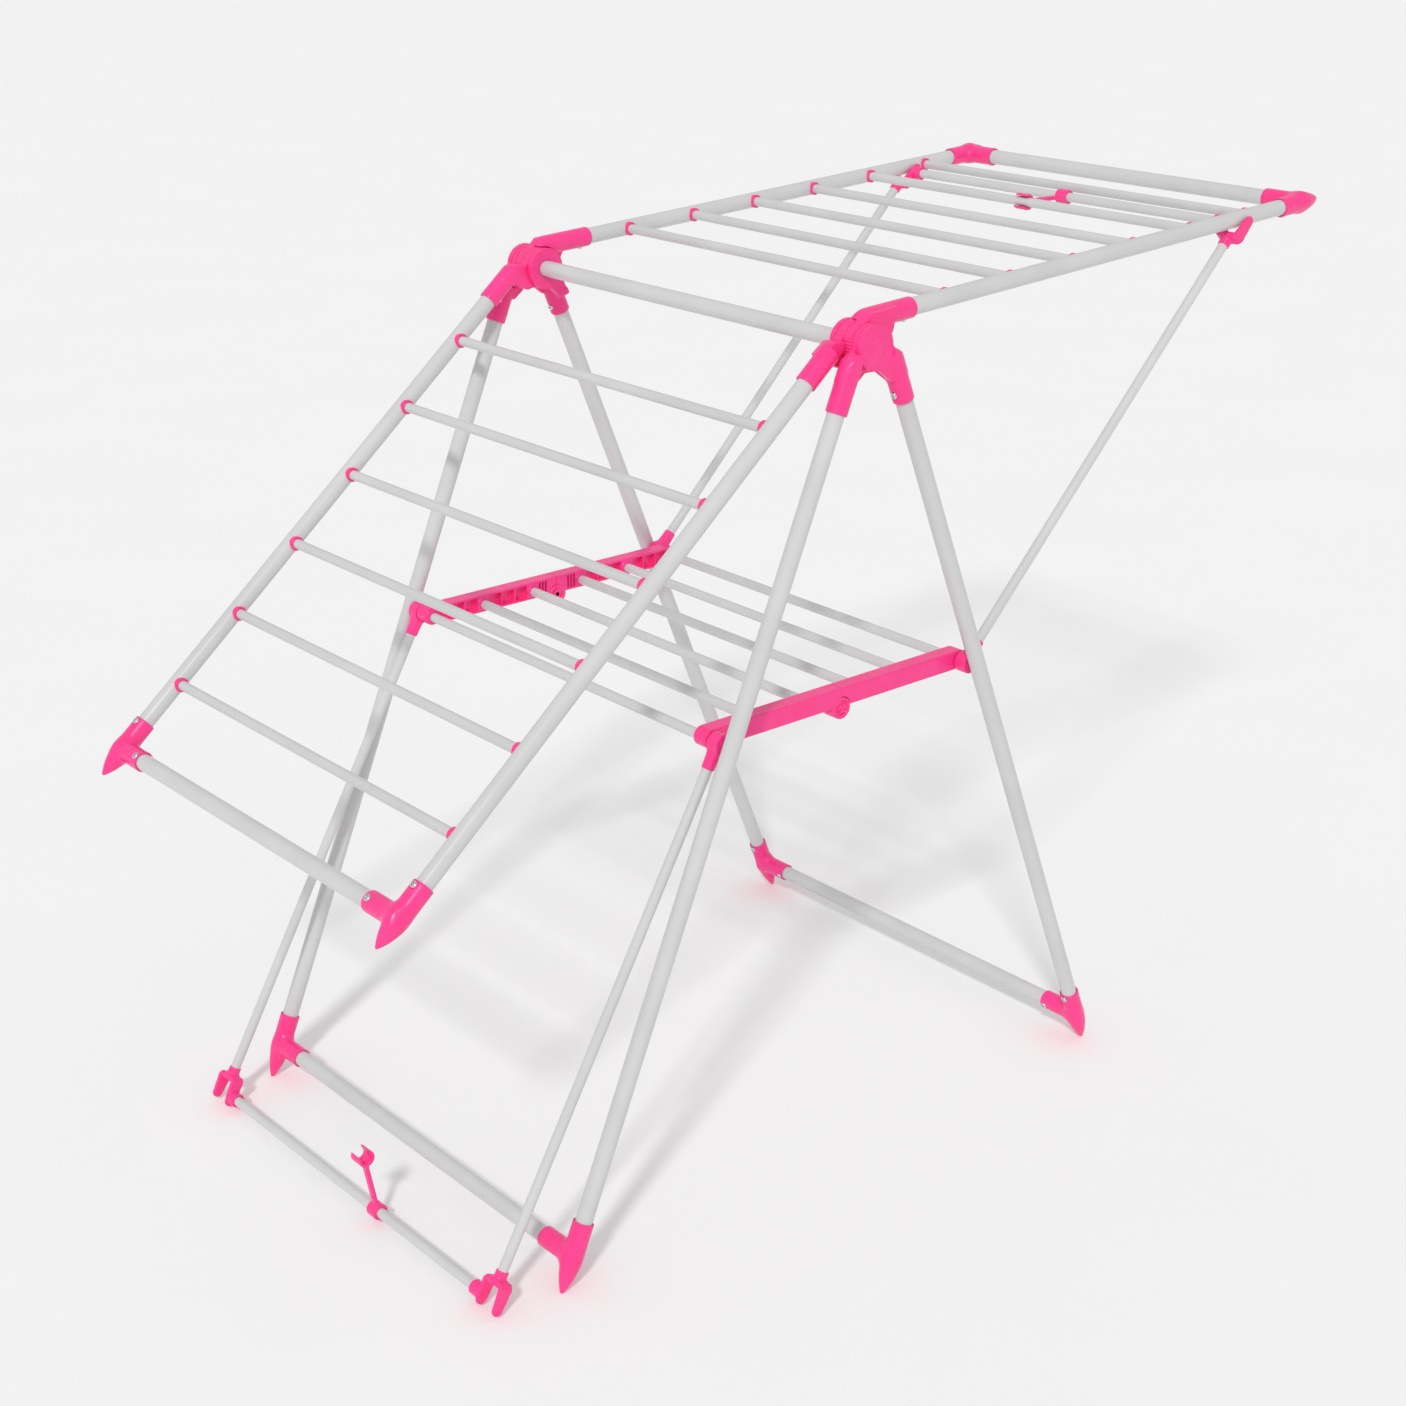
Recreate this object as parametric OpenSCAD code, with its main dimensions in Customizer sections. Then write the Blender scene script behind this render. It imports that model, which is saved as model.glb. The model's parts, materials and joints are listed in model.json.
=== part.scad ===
// Folding clothes drying rack: two leg frames, two wings, a folding shelf
// and two wing supports, all hinged about axes that run across the rack.
// Origin: on the floor, under the middle of the opened rack's full length.
// X runs along the wings, Y across the rack, Z up. Sizes are in millimetres,
// angles in degrees.

/* [Frame] */
// Height of the hub axis above the floor
hub_h = 832; // [820:1:834]
// Distance across the rack between the leg tube axes
leg_spacing = 510; // [440:1:600]
// Lean of each leg frame from the vertical
leg_lean = 22.6; // [20:0.1:25]
// Distance from the hub axis to the axis of a leg tube
leg_offset = 18.5; // [18:0.5:22]
// Outer diameter of the main tubes
tube_d = 16.6; // [16:1:18]
// Wall of the main tubes
tube_wall = 0.7; // [0.6:0.1:1.5]
// Distance along a leg from the hub to its bottom bar
foot_bar_at = 872; // [860:1:880]

/* [Wings] */
// Distance across the rack between the side tube axes
wing_spacing = 474; // [472:1:476]
// Distance from the hub axis to the plane of a wing
wing_offset = 20; // [19:0.5:22]
// Rise of the raised wing above the horizontal
wing_up = 3.4; // [0:0.1:5]
// Drop of the lowered wing below the horizontal
wing_down = 40.2; // [35:0.1:41]
// Distance along a wing from the hub to the first rung
rung_first = 120; // [100:1:140]
// Pitch of the wing rungs
rung_pitch = 90; // [80:1:92]
// Number of rungs in a wing
rung_count = 6; // [6]
// Outer diameter of the rungs, rods and crossbars
rung_d = 10; // [8:1:10]
// Wall of the rungs, rods and crossbars
rung_wall = 0.6; // [0.5:0.1:1.2]
// Distance along a wing from the hub to its end bar
wing_bar_at = 653; // [650:1:670]

/* [Shelf] */
// Distance along a leg from the hub to the shelf pivot
shelf_pivot_at = 379.2; // [370:0.1:390]
// Height of a shelf rail
rail_h = 19; // [17:0.5:20]
// Drop of the middle pivot below the end pivots
mid_drop = 10; // [8:0.5:11]

/* [Supports] */
// Distance from the shelf pivot to the crossbar of a support
support_len = 546; // [542:1:550]
// Angle of the resting support from the vertical
support_down = 29.6; // [29.5:0.1:34]
// Angle of the raised support from the vertical
support_up = 44.4; // [44:0.1:45]
// Place of the left clip across the rack
clip_y_left = -50; // [-150:1:150]
// Place of the right clip across the rack
clip_y_right = -5; // [-150:1:150]

/* [Hidden] */
$fn = 64;
RIGHT = 1;
LEFT = -1;
FAR = 1;
NEAR = -1;
WHITE = [0.93, 0.93, 0.94];
PINK = [1, 0.28, 0.56];
STEEL = [0.75, 0.76, 0.78];

tube_r = tube_d / 2;
rung_r = rung_d / 2;
leg_y = leg_spacing / 2;
wing_y = wing_spacing / 2;
leg_angle = leg_lean - 90;

// Hub: a stack of discs on one axle, from the inner plate outwards
disc_r = 21;
disc_clear = 0.6;
hub_inner = [220.8, 226.2];
hub_wing_left = [226.5, 237.4];
hub_wing_right = [237.7, 248.5];
hub_leg_left = [248.8, 254.9];
hub_outer = [255.2, 261.5];
hub_cap_r = 10;
hub_cap_h = 0.8;
axle_r = 4;
axle_end = 258.5;
socket_from = 28;
socket_to = 67;
tube_from = 34;
leg_socket_r = 11.2;
wing_socket_r = 11;
bar_cup = 4;

// Fitting at the foot of a leg and at the corner of a wing
fitting_r = 12.5;
branch_r = 12.2;
foot_nose = 39;
corner_nose = 32;
nose_tip_r = 1.2;
sleeve_len = 34;
branch_len = 42;
tube_stop = 13;

// Screws: a domed head seated in a spot face of the sleeve
screw_r = 1.5;
screw_head_r = 3.6;
screw_inset = 5;
hub_screw_inset = 10;

// Rung grommets
grommet_r = 7.4;
grommet_len = 2.4;
rung_into_tube = 4;

// Shelf
rail_in = 213;
rail_out = 230;
rail_web = 3;
rail_skin = 2.2;
rail_lift = 1;
rung_socket = 11;
pivot_r = 3;
fit_gap = 0.05;
boss_r = 11;
boss_gap = 0.5;
shelf_x = shelf_pivot_at * sin(leg_lean) + leg_offset * cos(leg_lean);
shelf_z = hub_h - shelf_pivot_at * cos(leg_lean) + leg_offset * sin(leg_lean);
shelf_rungs = [for (i = [0 : 2]) shelf_x * (1 - 0.4 * i)];

// Supports
eye_y = [231.4, 245];
eye_r = 10;
rod_from = 12;
fork_mouth = 518;
rod_stop = 526;
fork_base = 532;
fork_tip = 552;
fork_w = 14;
fork_slot = tube_d + 2;
prong_t = 4.6;
support_rise = 90 - support_up;
// Where the raised support's rod line meets the axis of the raised wing
meet_at = (hub_h + wing_offset * cos(wing_up) - shelf_z
    + (shelf_x + wing_offset * sin(wing_up)) * tan(wing_up))
    / (sin(support_rise) - cos(support_rise) * tan(wing_up));

// Clip: from the crossbar to the fifth rung while the wing is raised
clip_rung_at = rung_first + 4 * rung_pitch;
bar_up = [shelf_x + support_len * cos(support_rise), shelf_z + support_len * sin(support_rise)];
rung_up = [clip_rung_at * cos(wing_up) - wing_offset * sin(wing_up),
    hub_h + clip_rung_at * sin(wing_up) + wing_offset * cos(wing_up)];
clip_len = norm(rung_up - bar_up);
clip_rise = atan2(rung_up[1] - bar_up[1], bar_up[0] - rung_up[0]);
clip_swing = 6.3;
clip_w = 14;

// Reach of the wing tips from the hub axis, and the shift that centres the rack
corner_tip = wing_bar_at + corner_nose;
reach_right = corner_tip * cos(wing_up) - (wing_offset - nose_tip_r) * sin(wing_up);
reach_left = corner_tip * cos(wing_down) + (wing_offset + nose_tip_r) * sin(wing_down);
centre_x = (reach_left - reach_right) / 2;

// ---- Places ----

// Turns the right-hand, far-side form of a piece into any of its four places
module side(x, y) {
    translate([centre_x, 0, 0])
    if (x == LEFT && y == NEAR) mirror([1, 0, 0]) mirror([0, 1, 0]) children();
    else if (x == LEFT) mirror([1, 0, 0]) children();
    else if (y == NEAR) mirror([0, 1, 0]) children();
    else children();
}

module both_ends() {
    children();
    mirror([0, 1, 0]) children();
}

// Frame of a member that leaves the hub: X along it, Z to its outer side
module from_hub(angle) {
    translate([0, 0, hub_h]) rotate([0, -angle, 0]) children();
}

module along_leg() {
    from_hub(leg_angle) translate([0, 0, leg_offset]) children();
}

module along_wing(x) {
    from_hub(x == RIGHT ? wing_up : -wing_down) translate([0, 0, wing_offset]) children();
}

// Frame of a support: X along its rods from the shelf pivot
module along_support(x) {
    translate([shelf_x, 0, shelf_z])
        rotate([0, x == RIGHT ? -support_rise : 90 - support_down, 0]) children();
}

// ---- Basic forms ----

module rod_x(r, from, to) {
    translate([from, 0, 0]) rotate([0, 90, 0]) cylinder(r = r, h = to - from);
}

module rod_y(r, from, to) {
    translate([0, from, 0]) rotate([-90, 0, 0]) cylinder(r = r, h = to - from);
}

module tube_x(r, wall, from, to) {
    difference() {
        rod_x(r, from, to);
        rod_x(r - wall, from - 1, to + 1);
    }
}

module tube_y(r, wall, from, to) {
    difference() {
        rod_y(r, from, to);
        rod_y(r - wall, from - 1, to + 1);
    }
}

// Screw that points up into a sleeve of radius r from its underside
module screw(r) {
    translate([0, 0, -r]) {
        translate([0, 0, -0.6]) intersection() {
            translate([0, 0, 2]) sphere(r = screw_head_r + 0.5);
            translate([0, 0, -2.1]) cylinder(r = screw_head_r, h = 3.1);
        }
        cylinder(r = screw_r, h = r - tube_r);
    }
}

module screw_seat(r) {
    translate([0, 0, -r]) {
        translate([0, 0, -2]) cylinder(r = screw_head_r, h = 2.4);
        cylinder(r = screw_r, h = r - tube_r + 2);
    }
}

// ---- Leg frames ----

module leg_tube(x, y) {
    color(WHITE) side(x, y) along_leg() translate([0, leg_y, 0]) difference() {
        tube_x(tube_r, tube_wall, tube_from, foot_bar_at - tube_stop);
        translate([shelf_pivot_at, 0, 0]) rod_y(pivot_r, -tube_d, 0);
    }
}

module leg_bar(x) {
    bar_end = leg_y - tube_stop;
    color(WHITE) side(x, FAR) along_leg() translate([foot_bar_at, 0, 0])
        tube_y(tube_r, tube_wall, -bar_end, bar_end);
}

// Radius of a nose at distance u from the crossing: an ogive with a blunt tip
function nose_r(nose_len, u) =
    let (arc = (nose_len * nose_len + fitting_r * fitting_r) / (2 * fitting_r))
    max(nose_tip_r, sqrt(arc * arc - u * u) - arc + fitting_r);

// Tee with a pointed nose; its tube comes along X and its bar along Y
module fitting(nose_len) {
    steps = 9;
    profile = [for (i = [0 : steps]) let (u = nose_len * i / steps) [nose_r(nose_len, u), u]];
    difference() {
        union() {
            rod_x(fitting_r, -sleeve_len, 0);
            rotate([0, 90, 0]) rotate_extrude()
                polygon(concat([[0, 0]], profile, [[0, nose_len]]));
            rod_y(branch_r, -branch_len, 0);
        }
        rod_x(tube_r, -sleeve_len - 1, -tube_stop);
        rod_y(tube_r, -branch_len - 1, -tube_stop);
        translate([screw_inset - sleeve_len, 0, 0]) screw_seat(fitting_r);
        translate([0, screw_inset - branch_len, 0]) screw_seat(branch_r);
    }
}

module fitting_screws() {
    translate([screw_inset - sleeve_len, 0, 0]) screw(fitting_r);
    translate([0, screw_inset - branch_len, 0]) screw(branch_r);
}

module foot(x, y) {
    color(PINK) side(x, y) difference() {
        along_leg() translate([foot_bar_at, leg_y, 0]) fitting(foot_nose);
        translate([0, 0, -50]) cube([1000, 1000, 50]);
    }
}

module leg_screws(x) {
    color(STEEL) side(x, FAR) along_leg() both_ends() {
        translate([foot_bar_at, leg_y, 0]) fitting_screws();
        translate([socket_to - hub_screw_inset, leg_y, 0]) screw(leg_socket_r);
    }
}

module top_bar() {
    bar_end = hub_inner[0] + bar_cup;
    color(WHITE) side(RIGHT, FAR) translate([0, 0, hub_h])
        tube_y(tube_r, tube_wall, -bar_end, bar_end);
}

// ---- Hubs ----

// Outline of a neck, from within the disc to its socket: X along, Y outwards
leg_neck = [[0, -15], [16, -12.5], [21.4, -4.5], [35, 3.2], [40, 6], [40, 27], [20, 26.5],
    [12, 19.5], [0, 15]];
wing_neck = [[0, -15], [18, -9.5], [29.2, -3], [35.3, 8.8], [36.5, 14], [40, 14], [40, 28],
    [22, 26.5], [15, 19.5], [0, 15]];
wing_neck_high = [[0, -15], [18, -9.5], [29.2, -3], [35.3, 8.8], [36.5, 14], [40, 14], [40, 28],
    [6, 28], [-1, 21.5], [-6, 12]];

module neck(outline, slab) {
    translate([0, slab[1], 0]) rotate([90, 0, 0])
        linear_extrude(slab[1] - slab[0]) polygon(outline);
}

// Part of a socket that reaches back round the discs, within the layers given;
// it ends in a shoulder that slopes at 45 degrees
module socket_lead(slab, offset, socket_y, socket_r, layers, lead_from, shoulder) {
    difference() {
        translate([0, socket_y, offset]) rod_x(socket_r, lead_from, socket_from + 2);
        translate([-60, layers[0] - 50, 0]) cube([120, 50, 60]);
        translate([-60, layers[1], 0]) cube([120, 50, 60]);
        rod_y(disc_r + disc_clear, socket_y - 20, slab[0]);
        rod_y(disc_r + disc_clear, slab[1], socket_y + 20);
        translate([0, socket_y - 20, shoulder]) rotate([0, -45, 0])
            translate([-40, 0, 0]) cube([140, 40, 60]);
    }
}

// Disc, neck and tube socket of one hub piece, in the frame of its member
module hub_piece(slab, offset, socket_y, socket_r, outline, layers, lead_from, shoulder) {
    difference() {
        union() {
            rod_y(disc_r, slab[0], slab[1]);
            neck(outline, slab);
            socket_lead(slab, offset, socket_y, socket_r, layers, lead_from, shoulder);
            translate([0, socket_y, offset]) rod_x(socket_r, socket_from, socket_to);
        }
        translate([0, socket_y, offset]) rod_x(tube_r, tube_from, socket_to + 1);
        translate([socket_to - hub_screw_inset, socket_y, offset]) screw_seat(socket_r);
    }
}

module leg_piece(slab) {
    hub_piece(slab, leg_offset, leg_y, leg_socket_r, leg_neck, [hub_leg_left[0], 280], 8, 8);
}

// The right leg's piece is a clevis: its inner plate carries the top bar
module hub_leg_right(y) {
    arm = [[0, -15], [16, -12.5], [21.4, -4.5], [35, 3.2], [37, 4.2], [37, 15.5], [14, 15.5],
        [0, 15]];
    // The bridge slants outwards: its outline from above, then from its end
    bridge = [[32, hub_inner[0]], [37, hub_inner[0]], [40, 232], [46, 243.5], [48, leg_y],
        [32, leg_y]];
    slant = [[hub_inner[0], 4.2], [hub_inner[1], 7], [232, 13], [243.5, 12.5], [leg_y, 12.5],
        [leg_y, 25], [243.5, 25], [232, 21.5], [hub_inner[0], 15.5]];
    color(PINK) side(RIGHT, y) from_hub(leg_angle) difference() {
        union() {
            leg_piece(hub_outer);
            rod_y(hub_cap_r, hub_outer[1] - 1, hub_outer[1] + hub_cap_h);
            rod_y(disc_r, hub_inner[0], hub_inner[1]);
            neck(arm, hub_inner);
            difference() {
                intersection() {
                    linear_extrude(30) polygon(bridge);
                    rotate([90, 0, 90]) linear_extrude(60) polygon(slant);
                }
                translate([0, leg_y, leg_offset]) rod_x(tube_r, tube_from, socket_to);
            }
        }
        rod_y(tube_r, hub_inner[0] - 1, hub_inner[0] + bar_cup);
        rod_y(axle_r, hub_inner[0], axle_end);
    }
}

module hub_leg_left(y) {
    color(PINK) side(LEFT, y) from_hub(leg_angle) difference() {
        leg_piece(hub_leg_left);
        rod_y(axle_r + fit_gap, 0, leg_y * 2);
    }
}

module hub_wing(x, y) {
    layers = [hub_wing_left[0], 242.7];
    color(PINK) side(x, y) from_hub(x == RIGHT ? wing_up : -wing_down) difference() {
        if (x == RIGHT)
            hub_piece(hub_wing_right, wing_offset, wing_y, wing_socket_r,
                wing_neck_high, layers, -4, 23);
        else
            hub_piece(hub_wing_left, wing_offset, wing_y, wing_socket_r,
                wing_neck, layers, 10, 5);
        rod_y(axle_r + fit_gap, 0, leg_y * 2);
    }
}

module hub_axles() {
    color(STEEL) side(RIGHT, FAR) translate([0, 0, hub_h]) both_ends()
        rod_y(axle_r, hub_inner[0] + bar_cup, axle_end);
}

// ---- Wings ----

module wing_tube(x, y) {
    color(WHITE) side(x, y) along_wing(x) translate([0, wing_y, 0]) difference() {
        tube_x(tube_r, tube_wall, tube_from, wing_bar_at - tube_stop);
        at_rungs() rod_y(rung_r, -tube_r - 1, -tube_r + rung_into_tube);
    }
}

module at_rungs() {
    for (i = [0 : rung_count - 1])
        translate([rung_first + i * rung_pitch, 0, 0]) children();
}

module wing_bar(x) {
    bar_end = wing_y - tube_stop;
    color(WHITE) side(x, FAR) along_wing(x) translate([wing_bar_at, 0, 0])
        tube_y(tube_r, tube_wall, -bar_end, bar_end);
}

// The corners of the left wing carry their screws on the upper side
module screw_face(x) {
    if (x == LEFT) mirror([0, 0, 1]) children();
    else children();
}

module wing_corner(x, y) {
    color(PINK) side(x, y) along_wing(x) translate([wing_bar_at, wing_y, 0])
        screw_face(x) fitting(corner_nose);
}

module wing_rungs(x) {
    rung_end = wing_y - tube_r + rung_into_tube;
    color(WHITE) side(x, FAR) along_wing(x) at_rungs()
        tube_y(rung_r, rung_wall, -rung_end, rung_end);
}

module wing_grommets(x) {
    color(PINK) side(x, FAR) along_wing(x) both_ends() translate([0, wing_y, 0]) difference() {
        at_rungs() rod_y(grommet_r, -tube_r - grommet_len, -tube_r + 4);
        at_rungs() rod_y(rung_r, -tube_d, 0);
        rod_x(tube_r, 0, wing_bar_at);
    }
}

module wing_screws(x) {
    color(STEEL) side(x, FAR) along_wing(x) both_ends() {
        translate([wing_bar_at, wing_y, 0]) screw_face(x) fitting_screws();
        translate([socket_to - hub_screw_inset, wing_y, 0]) screw(wing_socket_r);
    }
}

// ---- Shelf ----

// Rail body of one half, from its butt face at the middle to its round end
module rail_body(x_end) {
    translate([0, rail_in, rail_lift - rail_h / 2])
        cube([x_end, rail_out - rail_in, rail_h]);
    translate([x_end, 0, rail_lift]) rod_y(rail_h / 2, rail_in, rail_out);
}

module rail_pockets() {
    inner_h = rail_h - 2 * rail_skin;
    clear = rung_r + 3;
    stops = [shelf_rungs[0], shelf_rungs[1], shelf_rungs[2], boss_r - rung_r];
    for (i = [0 : 2])
        translate([stops[i + 1] + clear, rail_in - 1, rail_lift - inner_h / 2])
            cube([stops[i] - stops[i + 1] - 2 * clear, rail_out - rail_in + 1 - rail_web, inner_h]);
}

// lap is the layer of this half's hinge disc, free the other half's layer
module shelf_rail(x, y, lap, free, pin_r) {
    butt = 0.2;
    color(PINK) side(x, y) translate([0, 0, shelf_z]) difference() {
        union() {
            difference() {
                rail_body(shelf_x);
                translate([-1, 0, -rail_h]) cube([1 + butt, rail_out * 2, 2 * rail_h]);
                rail_pockets();
                translate([0, 0, -mid_drop]) rod_y(boss_r + boss_gap, free[0] - 1, free[1] + 1);
            }
            translate([0, 0, -mid_drop]) rod_y(boss_r, lap[0], lap[1]);
        }
        for (rung_x = shelf_rungs)
            translate([rung_x, 0, 0]) rod_y(rung_r, rail_in - 1, rail_in + rung_socket);
        translate([shelf_x, 0, 0]) rod_y(pivot_r + fit_gap, rail_in, rail_out + 1);
        translate([0, 0, -mid_drop]) rod_y(pin_r, rail_in - 1, rail_out + 1);
    }
}

lap_mid = (rail_in + rail_out) / 2;
outer_lap = [lap_mid + 0.2, rail_out];
inner_lap = [rail_in, lap_mid - 0.2];

module shelf_rail_right(y) {
    shelf_rail(RIGHT, y, inner_lap, [lap_mid - 0.2, rail_out], pivot_r + fit_gap);
}

module shelf_rail_left(y) {
    shelf_rail(LEFT, y, outer_lap, [rail_in, lap_mid + 0.2], pivot_r);
}

module shelf_rungs(x) {
    rung_end = rail_in + rung_socket;
    color(WHITE) side(x, FAR) translate([0, 0, shelf_z]) for (rung_x = shelf_rungs)
        translate([rung_x, 0, 0]) tube_y(rung_r, rung_wall, -rung_end, rung_end);
}

module shelf_rivets() {
    color(PINK) side(RIGHT, FAR) translate([0, 0, shelf_z - mid_drop]) both_ends() {
        rod_y(pivot_r, rail_in, rail_out);
        rod_y(6, rail_out, rail_out + 1.2);
    }
}

// Pins that end inside the leg tubes; inner_end is where they stop at the rail
module shelf_bolts(x, inner_end) {
    color(STEEL) side(x, FAR) translate([shelf_x, 0, shelf_z]) both_ends()
        rod_y(pivot_r, inner_end, leg_y - 4);
}

// ---- Supports ----

module support_rods(x) {
    color(WHITE) side(x, FAR) along_support(x) both_ends() translate([0, wing_y, 0])
        tube_x(rung_r, rung_wall, rod_from, rod_stop);
}

module support_eyes(x) {
    color(PINK) side(x, FAR) along_support(x) both_ends() difference() {
        union() {
            rod_y(eye_r, eye_y[0], eye_y[1]);
            translate([0, wing_y, 0]) rod_x(7, 0, 34);
        }
        rod_y(pivot_r + fit_gap, 0, leg_y);
        translate([0, wing_y, 0]) rod_x(rung_r, rod_from, 40);
        translate([-20, eye_y[0] - 10, -20]) cube([40, 10, 40]);
    }
}

// Fork that straddles a wing's side tube; its saddle fits the tube's slant
module fork(x, y) {
    inner = wing_y - fork_slot / 2 - prong_t;
    outer = wing_y + fork_slot / 2 + prong_t;
    color(PINK) side(x, y) along_support(x) difference() {
        union() {
            translate([0, wing_y, 0]) rod_x(7.5, fork_mouth, fork_base);
            translate([fork_mouth + 8, inner, -fork_w / 2])
                cube([fork_tip - fork_mouth - 8, outer - inner, fork_w]);
            translate([fork_tip, 0, 0]) rod_y(fork_w / 2, inner, outer);
            translate([support_len, 0, 0]) rod_y(8, 206, inner + 1);
        }
        translate([0, wing_y, 0]) rod_x(rung_r, fork_mouth - 1, rod_stop);
        translate([fork_base, wing_y - fork_slot / 2, -fork_w])
            cube([60, fork_slot, 2 * fork_w]);
        translate([meet_at, wing_y, 0]) rotate([0, support_rise - wing_up, 0])
            rod_x(fork_slot / 2, -60, 60);
        translate([support_len, 0, 0]) rod_y(rung_r, 200, inner);
        for (edge = [0, 1]) translate([fork_mouth, edge ? outer : inner, -fork_w])
            rotate([0, 0, edge ? -30 : 30]) translate([-4, edge ? 0 : -20, 0])
            cube([18, 20, 2 * fork_w]);
    }
}

module crossbar(x) {
    bar_end = wing_y - fork_slot / 2 - prong_t;
    color(WHITE) side(x, FAR) along_support(x) translate([support_len, 0, 0])
        tube_y(rung_r, rung_wall, -bar_end, bar_end);
}

// Snap clip: a sleeve on the crossbar, an arm and a hook for the fifth rung
module clip(x, y) {
    hook_r = 8.6;
    hook_bore = rung_r + 0.6;
    mouth = 12;
    mouth_w = 2 * hook_bore - 0.3;
    arm = [5, 4];
    turn = x == RIGHT ? 0 : clip_swing;
    color(PINK) side(x, FAR) along_support(x) translate([support_len, y, 0])
        rotate([0, 180 + support_rise - turn + clip_rise, 0]) difference() {
            union() {
                rod_y(8, -clip_w / 2, clip_w / 2);
                translate([0, -arm[0] / 2, -arm[1] / 2]) cube([clip_len, arm[0], arm[1]]);
                translate([clip_len, 0, 0]) rod_y(hook_r, -8, 8);
            }
            rod_y(rung_r + fit_gap, -clip_w, clip_w);
            translate([clip_len, 0, 0]) {
                rod_y(hook_bore, -clip_w, clip_w);
                rotate([0, mouth, 0]) translate([0, -clip_w, -mouth_w / 2])
                    cube([20, 2 * clip_w, mouth_w]);
            }
        }
}

leg_tube(RIGHT, NEAR);  // leg_tube_right_near
leg_tube(RIGHT, FAR);  // leg_tube_right_far
leg_bar(RIGHT);  // leg_bar_right
foot(RIGHT, NEAR);  // foot_right_near
foot(RIGHT, FAR);  // foot_right_far
leg_screws(RIGHT);  // leg_screws_right
leg_tube(LEFT, NEAR);  // leg_tube_left_near
leg_tube(LEFT, FAR);  // leg_tube_left_far
leg_bar(LEFT);  // leg_bar_left
foot(LEFT, NEAR);  // foot_left_near
foot(LEFT, FAR);  // foot_left_far
leg_screws(LEFT);  // leg_screws_left
top_bar();
hub_axles();
hub_leg_right(NEAR);  // hub_leg_right_near
hub_leg_right(FAR);  // hub_leg_right_far
hub_leg_left(NEAR);  // hub_leg_left_near
hub_leg_left(FAR);  // hub_leg_left_far
hub_wing(RIGHT, NEAR);  // hub_wing_right_near
hub_wing(RIGHT, FAR);  // hub_wing_right_far
hub_wing(LEFT, NEAR);  // hub_wing_left_near
hub_wing(LEFT, FAR);  // hub_wing_left_far
wing_tube(RIGHT, NEAR);  // wing_tube_right_near
wing_tube(RIGHT, FAR);  // wing_tube_right_far
wing_bar(RIGHT);  // wing_bar_right
wing_corner(RIGHT, NEAR);  // wing_corner_right_near
wing_corner(RIGHT, FAR);  // wing_corner_right_far
wing_rungs(RIGHT);  // wing_rungs_right
wing_grommets(RIGHT);  // wing_grommets_right
wing_screws(RIGHT);  // wing_screws_right
wing_tube(LEFT, NEAR);  // wing_tube_left_near
wing_tube(LEFT, FAR);  // wing_tube_left_far
wing_bar(LEFT);  // wing_bar_left
wing_corner(LEFT, NEAR);  // wing_corner_left_near
wing_corner(LEFT, FAR);  // wing_corner_left_far
wing_rungs(LEFT);  // wing_rungs_left
wing_grommets(LEFT);  // wing_grommets_left
wing_screws(LEFT);  // wing_screws_left
shelf_rail_right(NEAR);  // shelf_rail_right_near
shelf_rail_right(FAR);  // shelf_rail_right_far
shelf_rungs(RIGHT);  // shelf_rungs_right
shelf_rail_left(NEAR);  // shelf_rail_left_near
shelf_rail_left(FAR);  // shelf_rail_left_far
shelf_rungs(LEFT);  // shelf_rungs_left
shelf_rivets();
shelf_bolts(RIGHT, rail_out - 5);  // shelf_bolts_right
shelf_bolts(LEFT, rail_out + 0.8);  // shelf_bolts_left
support_rods(RIGHT);  // support_rods_right
support_eyes(RIGHT);  // support_eyes_right
fork(RIGHT, NEAR);  // fork_right_near
fork(RIGHT, FAR);  // fork_right_far
crossbar(RIGHT);  // crossbar_right
clip(RIGHT, clip_y_right);  // clip_right
support_rods(LEFT);  // support_rods_left
support_eyes(LEFT);  // support_eyes_left
fork(LEFT, NEAR);  // fork_left_near
fork(LEFT, FAR);  // fork_left_far
crossbar(LEFT);  // crossbar_left
clip(LEFT, clip_y_left);  // clip_left
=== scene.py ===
"""Looks of the folding clothes drying rack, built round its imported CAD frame.

Every moulded part is a closed surface traced round a signed distance field,
so that its fillets, lips and ridges flow together as they do in a moulding.
Fields are written in millimetres in the frame of the member they belong to:
X along the member, Y across the rack and outwards, Z to its outer side.
"""
import json
import math

import bpy
import numpy as np
from mathutils import Matrix, Vector


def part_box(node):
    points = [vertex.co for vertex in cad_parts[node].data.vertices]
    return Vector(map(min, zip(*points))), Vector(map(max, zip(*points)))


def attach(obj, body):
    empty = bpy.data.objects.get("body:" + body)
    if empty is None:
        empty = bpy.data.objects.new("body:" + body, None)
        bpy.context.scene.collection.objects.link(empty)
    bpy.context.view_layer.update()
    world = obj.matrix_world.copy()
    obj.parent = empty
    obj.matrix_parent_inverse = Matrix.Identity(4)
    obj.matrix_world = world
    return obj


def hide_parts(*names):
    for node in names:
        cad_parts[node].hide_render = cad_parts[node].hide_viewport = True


MM = 0.001
RIGHT, LEFT, FAR, NEAR = 1, -1, 1, -1
SIDES = {"right": RIGHT, "left": LEFT}
ENDS = {"near": NEAR, "far": FAR}

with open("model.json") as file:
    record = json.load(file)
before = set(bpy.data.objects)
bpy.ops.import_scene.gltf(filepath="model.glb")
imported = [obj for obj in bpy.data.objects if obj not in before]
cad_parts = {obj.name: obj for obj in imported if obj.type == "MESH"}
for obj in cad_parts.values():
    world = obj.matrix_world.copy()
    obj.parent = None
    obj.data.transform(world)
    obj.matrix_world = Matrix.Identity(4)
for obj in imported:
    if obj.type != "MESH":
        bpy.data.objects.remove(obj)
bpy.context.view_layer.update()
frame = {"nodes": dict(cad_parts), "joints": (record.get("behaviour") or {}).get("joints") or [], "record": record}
joints = {j["name"]: j for j in frame["joints"]}


# ---- Places, from the frame ----

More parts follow.
